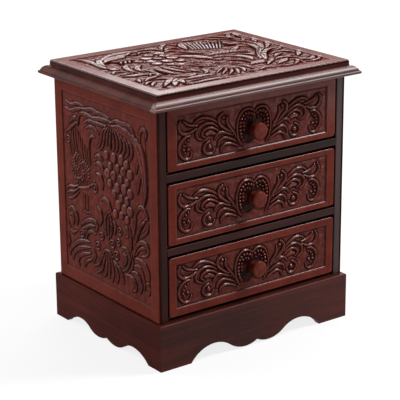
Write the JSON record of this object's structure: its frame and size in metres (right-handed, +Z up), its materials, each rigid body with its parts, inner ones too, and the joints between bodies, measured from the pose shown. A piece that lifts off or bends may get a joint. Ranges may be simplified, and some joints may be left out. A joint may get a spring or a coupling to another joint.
{
  "type": "jewelry chest",
  "caption": "Small table-top jewelry chest: moulded top, scalloped skirt with bracket feet, tooled leather panels and turned-knob drawers that slide out.",
  "frame": {"origin": "on the floor under the middle of the chest", "axes": "+Z up, -Y towards the front where the drawers open, +X to the right seen from the front"},
  "size_m": [0.252, 0.204, 0.2744],
  "materials": {
    "stained_wood": "dark red-brown stain, semi-gloss lacquer",
    "inner_wood": "plain planed wood, thin varnish",
    "knob_wood": "red-brown stain, semi-gloss lacquer",
    "tooled_leather": "embossed, dark antique stain in the hollows, semi-gloss",
    "felt": "pressed wool felt, dull",
    "steel": "plain drawn steel"
  },
  "bodies": {
    "case": {"left_side_board": "stained_wood", "right_side_board": "stained_wood", "bottom_board": "stained_wood", "back_panel": "stained_wood", "back_panel_pins": "steel", "upper_rail": "stained_wood", "lower_rail": "stained_wood", "upper_left_runner": "inner_wood", "upper_right_runner": "inner_wood", "lower_left_runner": "inner_wood", "lower_right_runner": "inner_wood", "top_board": "stained_wood", "top_dowels": "inner_wood", "top_leather": "tooled_leather", "left_leather": "tooled_leather", "right_leather": "tooled_leather", "front_skirt": "stained_wood", "back_skirt": "stained_wood", "left_skirt": "stained_wood", "right_skirt": "stained_wood", "foot_blocks": "inner_wood"},
    "top_drawer": {"top_drawer_front": "stained_wood", "top_drawer_leather": "tooled_leather", "top_drawer_right_side": "inner_wood", "top_drawer_left_side": "inner_wood", "top_drawer_back": "inner_wood", "top_drawer_bottom": "inner_wood", "top_drawer_lining": "felt", "top_drawer_knob": "knob_wood", "top_drawer_knob_screw": "steel"},
    "middle_drawer": {"middle_drawer_front": "stained_wood", "middle_drawer_leather": "tooled_leather", "middle_drawer_right_side": "inner_wood", "middle_drawer_left_side": "inner_wood", "middle_drawer_back": "inner_wood", "middle_drawer_bottom": "inner_wood", "middle_drawer_lining": "felt", "middle_drawer_knob": "knob_wood", "middle_drawer_knob_screw": "steel"},
    "bottom_drawer": {"bottom_drawer_front": "stained_wood", "bottom_drawer_leather": "tooled_leather", "bottom_drawer_right_side": "inner_wood", "bottom_drawer_left_side": "inner_wood", "bottom_drawer_back": "inner_wood", "bottom_drawer_bottom": "inner_wood", "bottom_drawer_lining": "felt", "bottom_drawer_knob": "knob_wood", "bottom_drawer_knob_screw": "steel"}
  },
  "joints": [
    {"name": "top_drawer_slide", "type": "slide", "parent": "case", "child": "top_drawer", "axis": [0, -1, 0], "range_m": [0, 0.135]},
    {"name": "middle_drawer_slide", "type": "slide", "parent": "case", "child": "middle_drawer", "axis": [0, -1, 0], "range_m": [0, 0.135]},
    {"name": "bottom_drawer_slide", "type": "slide", "parent": "case", "child": "bottom_drawer", "axis": [0, -1, 0], "range_m": [0, 0.135]}
  ]
}
